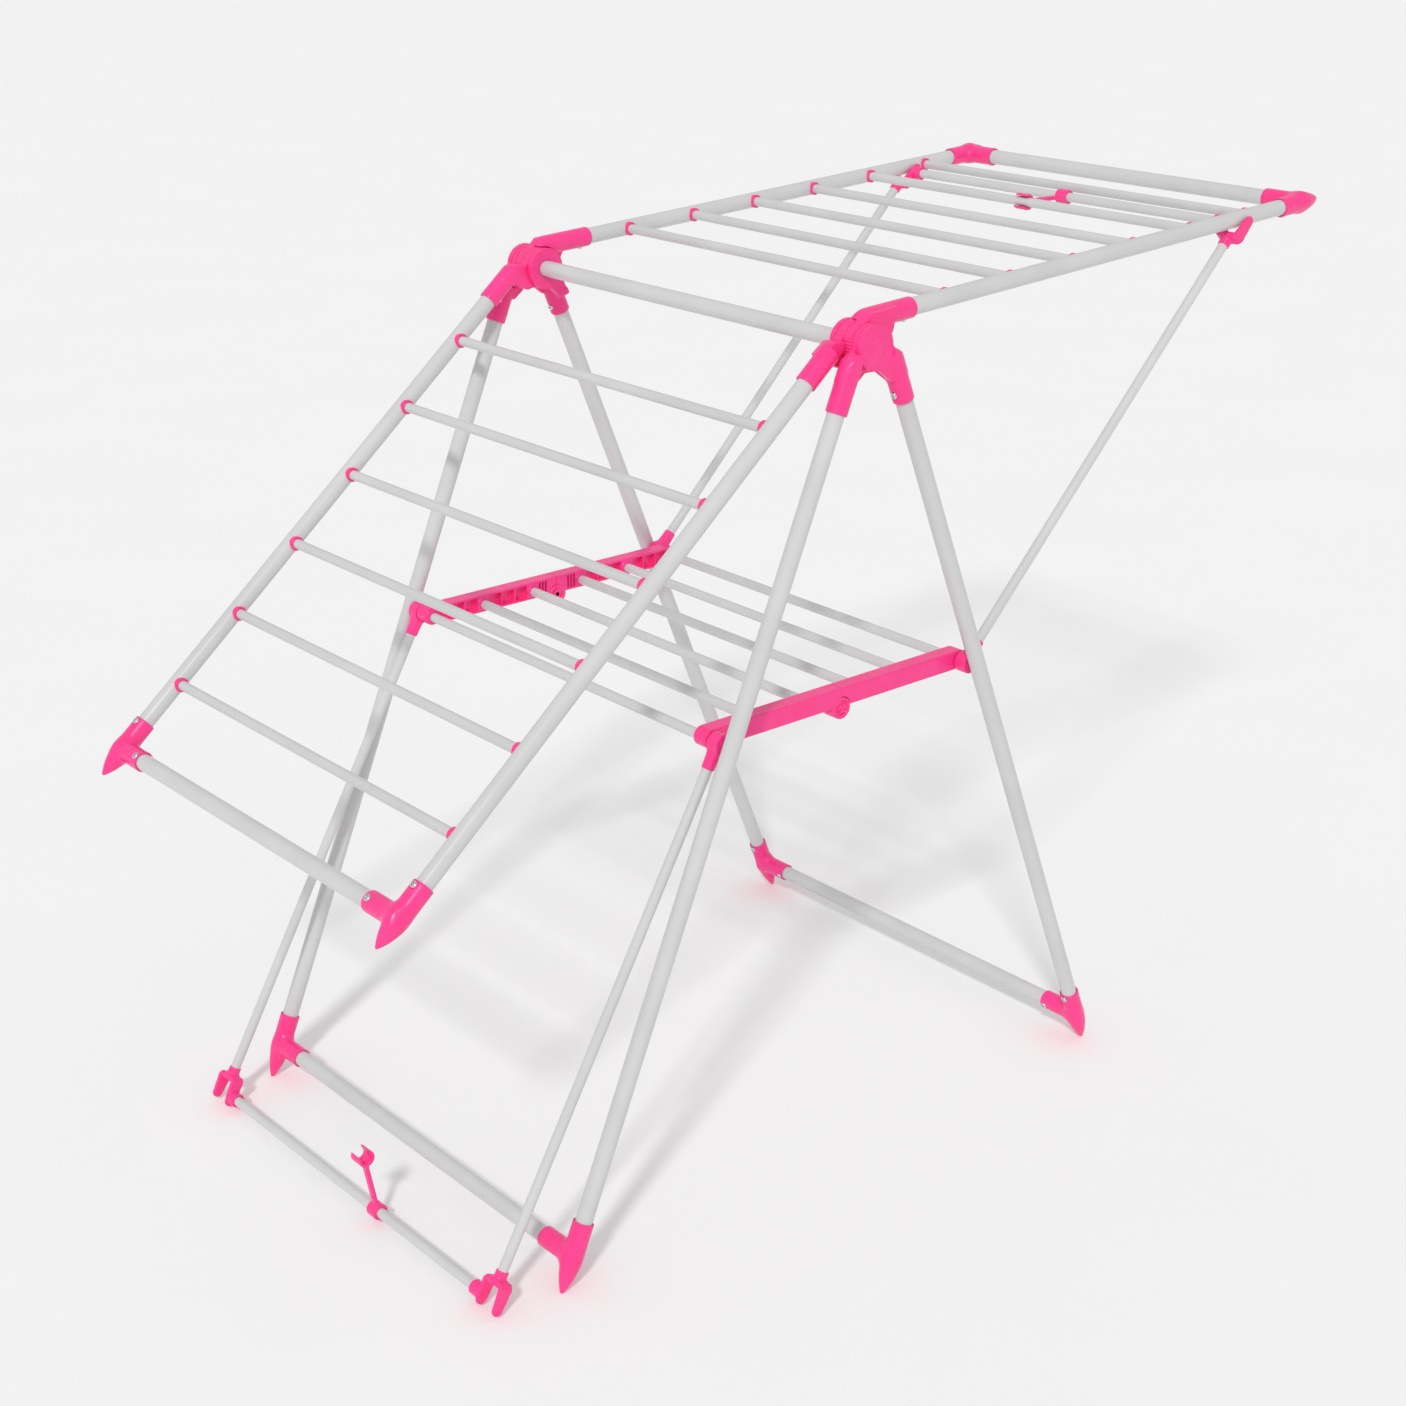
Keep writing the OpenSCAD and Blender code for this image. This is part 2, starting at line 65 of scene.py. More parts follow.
def pivot(joint):
    """(x, z) of a joint's axis in millimetres."""
    x, _, z = joints[joint]["pos_m"]
    return np.array([x, z]) / MM


def span(node):
    """Lowest and highest corner of a CAD node in millimetres."""
    lo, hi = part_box(node)
    return np.array(lo) / MM, np.array(hi) / MM


def middle(node):
    lo, hi = span(node)
    return (lo + hi) / 2


HUB = pivot("leg_fold")
SHELF_RIGHT = pivot("shelf_right_fold")
SHELF_MIDDLE = pivot("shelf_middle_fold")
SHELF_HALF = SHELF_RIGHT[0] - HUB[0]
MID_DROP = SHELF_RIGHT[1] - SHELF_MIDDLE[1]
LEG_LEAN = max(joints["leg_fold"]["range_deg"]) / 2
LEG_ANGLE = LEG_LEAN - 90
LEG_OFFSET = 18.5
WING_OFFSET = 20
TUBE_R = float(np.ptp(span("leg_bar_right"), axis=0)[0]) / 2
RUNG_R = 5
LEG_Y = middle("leg_tube_right_far")[1]
WING_Y = middle("wing_tube_right_far")[1]


def member(bar, side, offset):
    """Length and angle of the member that runs from the hub to a bar."""
    x, _, z = middle(bar) - np.array([HUB[0], 0, HUB[1]])
    x *= side
    length = math.sqrt(x * x + z * z - offset * offset)
    return length, math.degrees(math.atan2(z, x) - math.atan2(offset, length))


FOOT_AT, _ = member("leg_bar_right", RIGHT, LEG_OFFSET)
CORNER_AT, WING_UP = member("wing_bar_right", RIGHT, WING_OFFSET)
_, WING_DOWN = member("wing_bar_left", LEFT, WING_OFFSET)


def support_angle(side):
    """Slope of a support from its eye to its crossbar, in degrees."""
    x, _, z = middle("crossbar_right" if side == RIGHT else "crossbar_left")
    return math.degrees(math.atan2(z - SHELF_RIGHT[1], side * (x - HUB[0]) - SHELF_HALF))


def reach(bar, joint):
    """Distance from a joint's axis to the middle of a bar."""
    x, _, z = middle(bar)
    return float(np.hypot(*(np.array([x, z]) - pivot(joint))))


SUPPORT_LEN = reach("crossbar_right", "support_right_swing")


class Place:
    """Turns points in a member's frame into points in the row frame."""

    def __init__(self, side, end, origin, angle):
        self.side, self.end = side, end
        self.origin = np.array(origin, float)
        self.angle = math.radians(angle)

    def __call__(self, points):
        s, y, n = np.asarray(points, float).T
        c, d = math.cos(self.angle), math.sin(self.angle)
        x = self.origin[0] + self.side * (s * c - n * d)
        z = self.origin[1] + s * d + n * c
        return np.stack([x, self.end * y, z], 1) * MM

    @property
    def mirrored(self):
        return self.side * self.end < 0


def on_leg(side, end):
    return Place(side, end, HUB, LEG_ANGLE)


def on_wing(side, end):
    return Place(side, end, HUB, WING_UP if side == RIGHT else WING_DOWN)


def on_shelf(side, end):
    return Place(side, end, (HUB[0], SHELF_RIGHT[1]), 0)


def on_support(side, end):
    origin = (HUB[0] + side * SHELF_HALF, SHELF_RIGHT[1])
    return Place(side, end, origin, support_angle(side))


# ---- Distance fields ----

def smin(a, b, k):
    """Union of two fields with a fillet of about k."""
    h = np.clip(0.5 + 0.5 * (b - a) / k, 0, 1)
    return b + (a - b) * h - k * h * (1 - h)


def smax(a, b, k):
    return -smin(-a, -b, k)


def rounded(q, t, e):
    """Joins two half-space distances at an edge rounded by e."""
    q, t = q + e, t + e
    return np.hypot(np.maximum(q, 0), np.maximum(t, 0)) + np.minimum(np.maximum(q, t), 0) - e


def slab(v, a, b):
    return np.abs(v - (a + b) / 2) - (b - a) / 2


def rod(p, axis, centre, r, a, b, e=0.5):
    """Cylinder of radius r along an axis from a to b, its edges rounded by e."""
    i, j = [k for k in range(3) if k != axis]
    rho = np.hypot(p[:, i] - centre[0], p[:, j] - centre[1])
    return rounded(rho - r, slab(p[:, axis], a, b), e)


def block(p, lo, hi, e=0.5):
    q = np.stack([slab(p[:, k], lo[k], hi[k]) + e for k in range(3)])
    return np.sqrt((np.maximum(q, 0) ** 2).sum(0)) + np.minimum(q.max(0), 0) - e


def flat_box(u, v, lo, hi):
    """Rectangle in a plane, as a field of that plane."""
    a, b = slab(u, lo[0], hi[0]), slab(v, lo[1], hi[1])
    return np.hypot(np.maximum(a, 0), np.maximum(b, 0)) + np.minimum(np.maximum(a, b), 0)


def trace(field, lo, hi, step):
    """Closed surface of a field inside a box, as (points, quads), by surface nets."""
    lo, hi = np.array(lo, float) - 2 * step, np.array(hi, float) + 2 * step
    n = np.ceil((hi - lo) / step).astype(int) + 1
    grid = np.stack(np.meshgrid(*[lo[k] + step * np.arange(n[k]) for k in range(3)],
                                indexing="ij"), -1)
    value = field(grid.reshape(-1, 3)).reshape(n)
    inside = value < 0
    total = np.zeros(tuple(n - 1) + (3,))
    count = np.zeros(tuple(n - 1))
    crossings = []
    for axis in range(3):
        low = [slice(None)] * 3
        high = [slice(None)] * 3
        low[axis], high[axis] = slice(0, -1), slice(1, None)
        a, b = value[tuple(low)], value[tuple(high)]
        cross = inside[tuple(low)] != inside[tuple(high)]
        crossings.append(cross)
        where = np.argwhere(cross)
        t = a[cross] / (a[cross] - b[cross])
        point = where.astype(float)
        point[:, axis] += t
        others = [k for k in range(3) if k != axis]
        for du in (0, -1):
            for dv in (0, -1):
                cell = where.copy()
                cell[:, others[0]] += du
                cell[:, others[1]] += dv
                ok = ((cell >= 0) & (cell < n - 1)).all(1)
                at = tuple(cell[ok].T)
                np.add.at(total, at, point[ok])
                np.add.at(count, at, 1)
    used = count > 0
    index = -np.ones(used.shape, int)
    index[used] = np.arange(used.sum())
    points = lo + step * total[used] / count[used][:, None]
    quads = []
    for axis, cross in enumerate(crossings):
        others = [k for k in range(3) if k != axis]
        where = np.argwhere(cross)
        where = where[(where[:, others[0]] > 0) & (where[:, others[1]] > 0)]
        corners = []
        for du, dv in ((0, 0), (-1, 0), (-1, -1), (0, -1)):
            cell = where.copy()
            cell[:, others[0]] += du
            cell[:, others[1]] += dv
            corners.append(index[tuple(cell.T)])
        quad = np.stack(corners, 1)
        flip = inside[tuple(where.T)] == (axis == 1)
        quad[flip] = quad[flip][:, ::-1]
        quads.append(quad)
    quads = np.concatenate(quads)
    reach_h = step * 0.05
    for _ in range(3):  # onto the surface itself
        here = field(points)
        slope = np.stack([
            field(points + reach_h * np.eye(3)[k]) - field(points - reach_h * np.eye(3)[k])
            for k in range(3)], 1) / (2 * reach_h)
        size = np.maximum((slope ** 2).sum(1), 0.25)
        move = -(here / size)[:, None] * slope
        length = np.linalg.norm(move, axis=1, keepdims=True)
        points = points + move * np.minimum(1, 0.6 * step / np.maximum(length, 1e-9))
    return points, quads


def mesh_object(name, points, faces, mirrored):
    faces = np.asarray(faces)
    if mirrored:
        faces = faces[:, ::-1]
    mesh = bpy.data.meshes.new(name)
    count, size = faces.shape
    mesh.vertices.add(len(points))
    mesh.vertices.foreach_set("co", points.astype(np.float32).ravel())
    mesh.loops.add(count * size)
    mesh.loops.foreach_set("vertex_index", faces.astype(np.int32).ravel())
    mesh.polygons.add(count)
    mesh.polygons.foreach_set("loop_start", np.arange(0, count * size, size, dtype=np.int32))
    mesh.polygons.foreach_set("use_smooth", np.ones(count, bool))
    mesh.update(calc_edges=True)
    mesh.validate()
    mesh.set_sharp_from_angle(angle=math.radians(38))
    obj = bpy.data.objects.new(name, mesh)
    bpy.context.scene.collection.objects.link(obj)
    return obj


def put(name, shape, place, body, material, slot, nodes=()):
    """Shows a traced shape at a place, on a body, in place of CAD nodes."""
    points, quads = shape
    obj = mesh_object(name, place(points), quads, place.mirrored)
    obj.data.materials.append(material)
    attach(obj, body)
    if nodes:
        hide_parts(*nodes)
    return obj


# ---- Materials ----

def new_material(name):
    material = bpy.data.materials.new(name)
    material.use_nodes = True
    nodes, links = material.node_tree.nodes, material.node_tree.links
    return material, nodes, links, nodes["Principled BSDF"]


def noise(nodes, links, scale, detail=2.0, roughness=0.5):
    where = nodes.new("ShaderNodeTexCoord")
    node = nodes.new("ShaderNodeTexNoise")
    node.inputs["Scale"].default_value = scale
    node.inputs["Detail"].default_value = detail
    node.inputs["Roughness"].default_value = roughness
    links.new(where.outputs["Object"], node.inputs["Vector"])
    return node.outputs["Fac"]


def mapped(nodes, links, value, low, high, out_low=0.0, out_high=1.0):
    node = nodes.new("ShaderNodeMapRange")
    for name, number in (("From Min", low), ("From Max", high),
                         ("To Min", out_low), ("To Max", out_high)):
        node.inputs[name].default_value = number
    links.new(value, node.inputs["Value"])
    return node.outputs["Result"]


def mixed(nodes, links, factor, a, b):
    node = nodes.new("ShaderNodeMix")
    node.data_type = "RGBA"
    node.inputs["A"].default_value = (*a, 1)
    node.inputs["B"].default_value = (*b, 1)
    links.new(factor, node.inputs["Factor"])
    return node.outputs["Result"]


def bumped(nodes, links, shader, height, strength, distance):
    node = nodes.new("ShaderNodeBump")
    node.inputs["Strength"].default_value = strength
    node.inputs["Distance"].default_value = distance
    links.new(height, node.inputs["Height"])
    links.new(node.outputs["Normal"], shader.inputs["Normal"])


def powder_coat():
    """Gloss white powder coat: a fine orange peel and a faint unevenness of tone."""
    material, nodes, links, shader = new_material("white powder coat")
    tone = mapped(nodes, links, noise(nodes, links, 14, 3), 0.3, 0.7)
    links.new(mixed(nodes, links, tone, (0.585, 0.585, 0.592), (0.635, 0.635, 0.640)),
              shader.inputs["Base Color"])
    gloss = mapped(nodes, links, noise(nodes, links, 60, 3), 0.3, 0.7, 0.17, 0.24)
    links.new(gloss, shader.inputs["Roughness"])
    shader.inputs["IOR"].default_value = 1.5
    bumped(nodes, links, shader, noise(nodes, links, 900, 2), 0.12, 0.0002)
    return material


def moulded_plastic():
    """Hot pink gloss moulding: slow flow marks in tone and gloss, and a fine grain."""
    material, nodes, links, shader = new_material("pink moulded plastic")
    tone = mapped(nodes, links, noise(nodes, links, 45, 4, 0.6), 0.3, 0.7)
    links.new(mixed(nodes, links, tone, (0.95, 0.036, 0.245), (0.99, 0.050, 0.290)),
              shader.inputs["Base Color"])
    gloss = mapped(nodes, links, noise(nodes, links, 120, 3), 0.3, 0.7, 0.24, 0.34)
    links.new(gloss, shader.inputs["Roughness"])
    shader.inputs["IOR"].default_value = 1.45
    bumped(nodes, links, shader, noise(nodes, links, 700, 3), 0.10, 0.0002)
    return material


def bright_steel():
    material, nodes, links, shader = new_material("bright plated steel")
    tone = mapped(nodes, links, noise(nodes, links, 400, 3), 0.3, 0.7)
    links.new(mixed(nodes, links, tone, (0.62, 0.63, 0.65), (0.72, 0.72, 0.73)),
              shader.inputs["Base Color"])
    shader.inputs["Metallic"].default_value = 1.0
    links.new(mapped(nodes, links, noise(nodes, links, 900, 3), 0.3, 0.7, 0.14, 0.26),
              shader.inputs["Roughness"])
    bumped(nodes, links, shader, noise(nodes, links, 1500, 2), 0.08, 0.0001)
    return material


WHITE, PINK, STEEL = powder_coat(), moulded_plastic(), bright_steel()
WHITE_SLOT, PINK_SLOT, STEEL_SLOT = "white_steel", "pink_plastic", "chrome_steel"

LOOKS = {WHITE_SLOT: WHITE, PINK_SLOT: PINK, STEEL_SLOT: STEEL}
NODE_SLOTS = {part["node"]: part["material_slot"] for part in frame["record"]["subparts"]}

for node_name, node_object in frame["nodes"].items():
    node_mesh = node_object.data
    node_mesh.materials.clear()
    node_mesh.materials.append(LOOKS[NODE_SLOTS[node_name]])
    node_mesh.polygons.foreach_set("use_smooth", [True] * len(node_mesh.polygons))
    node_mesh.set_sharp_from_angle(angle=math.radians(35))


# ---- Tees at the feet and wing corners ----

FITTING_R = TUBE_R + 1.9
BRANCH_R = TUBE_R + 1.8
SLEEVE_LEN, BRANCH_LEN = 34, 42
TEE_FILLET = 7
TUBE_BORE_R, MOUTH_DEPTH = TUBE_R + 0.25, 9
SCREW_INSET = 5
SCREW_R = 3.6
SEAT_R = SCREW_R + 0.5
PAST = 3  # how far a cut runs on outside the piece


def ogive(p, r, length, e):
    """Nose of revolution about X from 0 to length, blunted by e."""
    r, length = r - e, length - 1.5 * e
    rho, u = np.hypot(p[:, 1], p[:, 2]), p[:, 0]
    arc = (length * length + r * r) / (2 * r)
    side = np.hypot(rho + arc - r, u) - arc
    beyond = u * (arc - r) > length * (rho + arc - r)
    nose = np.where(beyond, np.hypot(rho, u - length), side)
    return np.maximum(nose - e, -u)


def tube_mouth(d, p, axis, centre, end, outwards):
    """Opens the end of a sleeve round the tube that enters it."""
    ends = sorted((end - outwards * MOUTH_DEPTH, end + outwards * PAST))
    return smax(d, -rod(p, axis, centre, TUBE_BORE_R, *ends, 0.1), 0.6)


def screw_seat(d, p, at, bottom, depth):
    """Cuts the spot face of a screw head into the underside of a sleeve."""
    return smax(d, -rod(p, 2, at, SEAT_R, bottom - PAST, bottom + depth, 0.2), 0.4)


def tee(nose_len):
    """Sleeve with a pointed nose and a branch for the cross bar."""
    def field(p):
        along = smin(rod(p, 0, (0, 0), FITTING_R, -SLEEVE_LEN, 2, 1.0),
                     ogive(p, FITTING_R, nose_len, 1.6), 0.4)
        branch = rod(p, 1, (0, 0), BRANCH_R, -BRANCH_LEN, 2, 1.0)
        d = smin(along, branch, TEE_FILLET)
        d = tube_mouth(d, p, 0, (0, 0), -SLEEVE_LEN, -1)
        d = tube_mouth(d, p, 1, (0, 0), -BRANCH_LEN, -1)
        for at in ((SCREW_INSET - SLEEVE_LEN, 0), (0, SCREW_INSET - BRANCH_LEN)):
            d = screw_seat(d, p, at, -FITTING_R, 0.9)
        return d
    return field


def standing(field):
    """The tee of a foot, cut level where it stands on the floor."""
    a = math.radians(LEG_ANGLE)

    def cut(p):
        height = (HUB[1] + (p[:, 0] + FOOT_AT) * math.sin(a)
                  + (p[:, 2] + LEG_OFFSET) * math.cos(a))
        return smax(field(p), -height, 0.5)
    return cut


def shifted(shape, by):
    points, quads = shape
    return points + np.array(by, float), quads


def turned_over(shape):
    """Mirror image of a shape in its member's plane."""
    points, quads = shape
    return points * np.array([1, 1, -1]), quads[:, ::-1]


FOOT_NOSE, CORNER_NOSE = 39, 32
TEE_LO = (-SLEEVE_LEN, -BRANCH_LEN, -FITTING_R)
FOOT = trace(standing(tee(FOOT_NOSE)), TEE_LO, (FOOT_NOSE, FITTING_R, FITTING_R), 0.9)
CORNER = trace(tee(CORNER_NOSE), TEE_LO, (CORNER_NOSE, FITTING_R, FITTING_R), 0.9)

for s, side in SIDES.items():
    for e, end in ENDS.items():
        name = f"foot_{s}_{e}"
        put(f"{name}_moulding", shifted(FOOT, (FOOT_AT, LEG_Y, LEG_OFFSET)), on_leg(side, end),
            f"leg_frame_{s}", PINK, PINK_SLOT, [name])
        name = f"wing_corner_{s}_{e}"
        corner = CORNER if side == RIGHT else turned_over(CORNER)
        put(f"{name}_moulding", shifted(corner, (CORNER_AT, WING_Y, WING_OFFSET)),
            on_wing(side, end), f"wing_{s}", PINK, PINK_SLOT, [name])


# ---- Hubs ----

DISC_R = 21
DISC_CLEAR = 0.6
SOCKET_FROM, SOCKET_TO = 28, 67
LEG_SOCKET_R, WING_SOCKET_R = TUBE_R + 1.9, TUBE_R + 1.7
HUB_SCREW_INSET = 10
INNER_PLATE = (220.8, 226.2)
WING_LEFT_PLATE = (226.5, 237.4)
WING_RIGHT_PLATE = (237.7, 248.5)
LEG_LEFT_PLATE = (248.8, 254.9)
OUTER_PLATE = (255.2, 261.5)
CAP_R, CAP_H = 10, 0.8
BAR_CUP = 4
TEETH = 44
WING_LEAD = (WING_LEFT_PLATE[0], 242.7)
LEG_LEAD = (LEG_LEFT_PLATE[0], 280)
LEG_NECK = [(0, -15), (16, -12.5), (21.4, -4.5), (35, 3.2), (40, 6), (40, 27), (20, 26.5),
            (12, 19.5), (0, 15)]
WING_NECK = [(0, -15), (18, -9.5), (29.2, -3), (35.3, 8.8), (36.5, 14), (40, 14), (40, 28),
             (22, 26.5), (15, 19.5), (0, 15)]
WING_NECK_HIGH = WING_NECK[:7] + [(6, 28), (-1, 21.5), (-6, 12)]
CLEVIS_ARM = [(0, -15), (16, -12.5), (21.4, -4.5), (35, 3.2), (37, 4.2), (37, 15.5),
              (14, 15.5), (0, 15)]
CLEVIS_BRIDGE = [(32, INNER_PLATE[0]), (37, INNER_PLATE[0]), (40, 232), (46, 243.5),
                 (48, LEG_Y), (32, LEG_Y)]
CLEVIS_SLANT = [(INNER_PLATE[0], 4.2), (INNER_PLATE[1], 7), (232, 13), (243.5, 12.5),
                (LEG_Y, 12.5), (LEG_Y, 25), (243.5, 25), (232, 21.5), (INNER_PLATE[0], 15.5)]


def polygon(u, v, corners):
    """Signed distance to a closed outline in the plane of u and v."""
    nearest = np.full(u.shape, 1e9)
    sign = np.ones(u.shape)
    for k, (ax, ay) in enumerate(corners):
        bx, by = corners[k - 1]
        ex, ey = bx - ax, by - ay
        wx, wy = u - ax, v - ay
        t = np.clip((wx * ex + wy * ey) / (ex * ex + ey * ey), 0, 1)
        nearest = np.minimum(nearest, np.hypot(wx - ex * t, wy - ey * t))
        above, below = v >= ay, v < by
        left = ex * wy > ey * wx
        flip = (above & below & left) | (~above & ~below & ~left)
        sign = np.where(flip, -sign, sign)
    return sign * nearest


def disc_plate(p, layer, neck, teeth=0.0, e=0.9):
    """Disc about the hub axis and the neck it carries, in one layer of the hub."""
    disc = np.hypot(p[:, 0], p[:, 2]) - DISC_R
    if teeth:
        around = np.arctan2(p[:, 2], p[:, 0])
        disc = disc + teeth * (0.5 + 0.5 * np.cos(TEETH * around))
    outline = smin(disc, polygon(p[:, 0], p[:, 2], neck) + 0.5, 3) + 0.1
    return rounded(outline, slab(p[:, 1], *layer), e)


def socket(p, layer, offset, socket_y, r, lead, lead_from, shoulder):
    """Tube socket that reaches back round the discs and ends in a sloped shoulder."""
    x, y, z = p.T
    rho = np.hypot(x, z)
    d = rod(p, 0, (socket_y, offset), r, lead_from, SOCKET_TO, 1.3)
    d = smax(d, (z - x - shoulder) / math.sqrt(2), 4)
    d = smax(d, -np.maximum(x - SOCKET_FROM, y - lead[0]), 1.2)
    d = smax(d, -np.maximum(x - SOCKET_FROM, lead[1] - y), 1.2)
    clear = rho - DISC_R - DISC_CLEAR
    d = smax(d, -np.maximum(clear, y - layer[0]), 1)
    return smax(d, -np.maximum(clear, layer[1] - y), 1)


def hub_part(layer, offset, socket_y, r, neck, lead, lead_from, shoulder, teeth, extra):
    def field(p):
        x, y, z = p.T
        tube = socket(p, layer, offset, socket_y, r, lead, lead_from, shoulder)
        d = smin(disc_plate(p, layer, neck, teeth), tube, 3)
        layers = slab(y, *layer)
        if extra:
            d, layers = extra(p, d)
        d = np.maximum(d, np.minimum(layers, DISC_R + DISC_CLEAR - np.hypot(x, z)))
        d = tube_mouth(d, p, 0, (socket_y, offset), SOCKET_TO, 1)
        return screw_seat(d, p, (SOCKET_TO - HUB_SCREW_INSET, socket_y), offset - r, 0.7)
    return field


def clevis(p, d):
    """Adds the inner plate, its bridge to the socket and the cap over the axle."""
    x, y, z = p.T
    arm = disc_plate(p, INNER_PLATE, CLEVIS_ARM)
    bridge = rounded(polygon(x, y, CLEVIS_BRIDGE), polygon(y, z, CLEVIS_SLANT), 2)
    arm = smin(arm, bridge, 5)
    cup = rod(p, 1, (0, 0), TUBE_R + 0.2, INNER_PLATE[0] - 3, INNER_PLATE[0] + BAR_CUP, 0.1)
    arm = smax(arm, -cup, 0.5)
    cap_top = OUTER_PLATE[1] + CAP_H
    cap = rounded(np.hypot(x, z) - CAP_R, slab(y, OUTER_PLATE[1] - 2, cap_top), 0.7)
    layers = np.minimum(slab(y, *INNER_PLATE), slab(y, OUTER_PLATE[0], cap_top))
    return smin(smin(d, arm, 4), cap, 0.7), layers


def hub_shape(layer, offset, socket_y, r, neck, lead, lead_from, shoulder,
              teeth=0.0, extra=None):
    y_lo = min(layer[0], socket_y - r, INNER_PLATE[0] if extra else layer[0])
    y_hi = max(layer[1] + CAP_H, socket_y + r)
    return trace(
        hub_part(layer, offset, socket_y, r, neck, lead, lead_from, shoulder, teeth, extra),
        (-DISC_R - 1, y_lo, -DISC_R - 1), (SOCKET_TO, y_hi, offset + r + 1), 0.8)


def leg_piece(layer, teeth, extra):
    return hub_shape(layer, LEG_OFFSET, LEG_Y, LEG_SOCKET_R, LEG_NECK, LEG_LEAD, 8, 8,
                     teeth, extra)


def wing_piece(layer, neck, lead_from, shoulder):
    return hub_shape(layer, WING_OFFSET, WING_Y, WING_SOCKET_R, neck, WING_LEAD, lead_from,
                     shoulder, 0.7)


HUB_PARTS = {
    "hub_leg_right": (leg_piece(OUTER_PLATE, 0, clevis), on_leg, RIGHT, "leg_frame_right"),
    "hub_leg_left": (leg_piece(LEG_LEFT_PLATE, 0.6, None), on_leg, LEFT, "leg_frame_left"),
    "hub_wing_right": (wing_piece(WING_RIGHT_PLATE, WING_NECK_HIGH, -4, 23),
                       on_wing, RIGHT, "wing_right"),
    "hub_wing_left": (wing_piece(WING_LEFT_PLATE, WING_NECK, 10, 5), on_wing, LEFT, "wing_left"),
}
for name, (shape, frame_of, side, body) in HUB_PARTS.items():
    for e, end in ENDS.items():
        put(f"{name}_{e}_moulding", shape, frame_of(side, end), body, PINK, PINK_SLOT,
            [f"{name}_{e}"])


# ---- Screws ----

CROSS_HALF_W, CROSS_REACH = 0.42, 1.6


def screw_field(p):
    """Pan head with a cross recess, its foot at z 0 and its top towards -Z."""
    rho = np.hypot(p[:, 0], p[:, 1])
    head = rounded(rho - SCREW_R, slab(p[:, 2], -2.2, 0.6), 0.3)
    dome = np.sqrt(rho ** 2 + (p[:, 2] - 2.6) ** 2) - 5.0
    d = smax(head, dome, 0.5)
    for u, v in ((0, 1), (1, 0)):
        x, y = CROSS_HALF_W + u * CROSS_REACH, CROSS_HALF_W + v * CROSS_REACH
        d = smax(d, -block(p, (-x, -y, -4), (x, y, -1.2), 0.15), 0.15)
    return d


SCREW = trace(screw_field, (-SCREW_R, -SCREW_R, -2.5), (SCREW_R, SCREW_R, 0.7), 0.3)


def joined(shapes):
    points, quads, start = [], [], 0
    for p, q in shapes:
        points.append(p)
        quads.append(q + start)
        start += len(p)
    return np.concatenate(points), np.concatenate(quads)


def tee_screws(at, y, offset, over):
    """Screws of a tee's sleeve and branch, on its upper side if over."""
    screw = turned_over(SCREW) if over else SCREW
    out = 1 if over else -1
    along = (at + SCREW_INSET - SLEEVE_LEN, y, offset + out * (FITTING_R - 0.9))
    branch = (at, y + SCREW_INSET - BRANCH_LEN, offset + out * (FITTING_R - 1.1))
    return [shifted(screw, along), shifted(screw, branch)]


def hub_screw(y, offset, socket_r):
    return shifted(SCREW, (SOCKET_TO - HUB_SCREW_INSET, y, offset - socket_r + 0.6))


for s, side in SIDES.items():
    leg = (tee_screws(FOOT_AT, LEG_Y, LEG_OFFSET, False)
           + [hub_screw(LEG_Y, LEG_OFFSET, LEG_SOCKET_R)])
    wing = (tee_screws(CORNER_AT, WING_Y, WING_OFFSET, side == LEFT)
            + [hub_screw(WING_Y, WING_OFFSET, WING_SOCKET_R)])
    for e, end in ENDS.items():
        put(f"leg_screws_{s}_{e}", joined(leg), on_leg(side, end), f"leg_frame_{s}",
            STEEL, STEEL_SLOT, [f"leg_screws_{s}"])
        put(f"wing_screws_{s}_{e}", joined(wing), on_wing(side, end), f"wing_{s}",
            STEEL, STEEL_SLOT, [f"wing_screws_{s}"])


# ---- Rung grommets ----

GROMMET_R = 7.2
GROMMET_LEN = 1.8
RUNG_COUNT = 6
RUNG_FIRST, RUNG_PITCH = 120, 90


def grommet_field(p):
    ring = rod(p, 1, (0, 0), GROMMET_R, -TUBE_R - GROMMET_LEN, -TUBE_R + 3.5, 1.0)
    d = smax(ring, -(np.hypot(p[:, 0], p[:, 2]) - RUNG_R - 0.02), 0.3)
    return np.maximum(d, -(np.hypot(p[:, 1], p[:, 2]) - TUBE_R + 0.15))


GROMMET = trace(grommet_field, (-GROMMET_R, -TUBE_R - GROMMET_LEN, -GROMMET_R),
                (GROMMET_R, -TUBE_R + 4, GROMMET_R), 0.55)
for s, side in SIDES.items():
    row = joined([shifted(GROMMET, (RUNG_FIRST + RUNG_PITCH * i, WING_Y, WING_OFFSET))
                  for i in range(RUNG_COUNT)])
    for e, end in ENDS.items():
        put(f"wing_grommets_{s}_{e}", row, on_wing(side, end), f"wing_{s}",
            PINK, PINK_SLOT, [f"wing_grommets_{s}"])


# ---- Shelf rails ----

RAIL_IN, RAIL_OUT = 213, 230
RAIL_MID = (RAIL_IN + RAIL_OUT) / 2
RAIL_H, RAIL_LIFT = 19, 1
RAIL_LOW, RAIL_HIGH = RAIL_LIFT - RAIL_H / 2, RAIL_LIFT + RAIL_H / 2
RAIL_FLOOR, RAIL_SKIN = 220, 2.2
BOSS_R, BOSS_GAP = 11, 0.5
BOSS_RING, BOSS_DIP = (8.2, BOSS_R - 0.3), (5.2, 7.4)
BUTT = 0.2
SHELF_RUNGS = [SHELF_HALF * (1 - 0.4 * i) for i in range(3)]
RUNG_CLEAR = 8
BAYS, RIB_T = 3, 1.4


